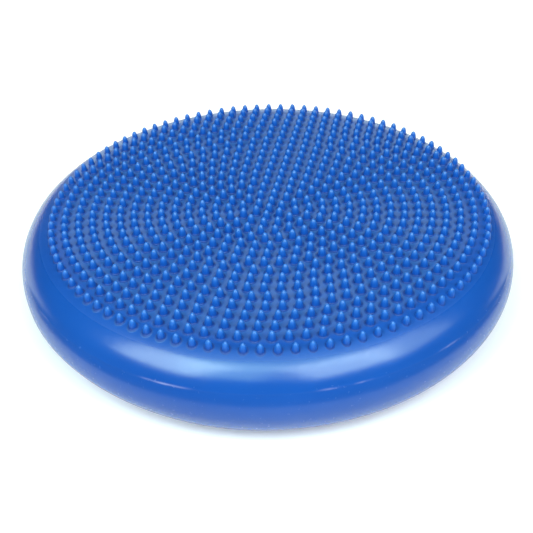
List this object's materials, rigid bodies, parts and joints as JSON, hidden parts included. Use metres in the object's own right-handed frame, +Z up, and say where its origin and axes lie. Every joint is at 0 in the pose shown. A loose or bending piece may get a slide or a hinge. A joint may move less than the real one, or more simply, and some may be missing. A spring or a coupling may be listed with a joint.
{
  "type": "wobble cushion",
  "caption": "Round air-filled balance cushion with a spiked massage face, a smooth rounded wall with a parting seam, and a needle valve in its underside.",
  "frame": {"origin": "middle of the flat underside, on the cushion's own axis, at the floor", "axes": "+Z up out of the spiked face along the cushion's axis; the valve lies on +Y"},
  "size_m": [0.33, 0.33, 0.067],
  "materials": {
    "face_skin": "satin",
    "wall_skin": "satin",
    "underside_skin": "satin",
    "valve_housing": "matte",
    "valve_core": "matte"
  },
  "bodies": {
    "base": {"underside_panel": "underside_skin", "lower_wall": "wall_skin", "valve_housing": "valve_housing", "valve_core": "valve_core"},
    "middle": {"middle_wall": "wall_skin"},
    "belt": {"parting_seam": "wall_skin", "upper_wall": "wall_skin"},
    "top": {"spiked_face": "face_skin"}
  },
  "joints": [
    {"name": "pitch", "type": "hinge", "parent": "base", "child": "middle", "pos_m": [0, 0, 0.0215], "axis": [1, 0, 0], "range_deg": [-4, 4], "stiffness_Nm_per_rad": 300, "deforming": ["lower_wall"]},
    {"name": "roll", "type": "hinge", "parent": "middle", "child": "belt", "pos_m": [0, 0, 0.0215], "axis": [0, 1, 0], "range_deg": [-4, 4], "stiffness_Nm_per_rad": 300, "deforming": ["middle_wall"]},
    {"name": "sink", "type": "slide", "parent": "belt", "child": "top", "axis": [0, 0, 1], "range_m": [-0.006, 0], "stiffness_N_per_m": 30000, "deforming": ["upper_wall"]}
  ]
}
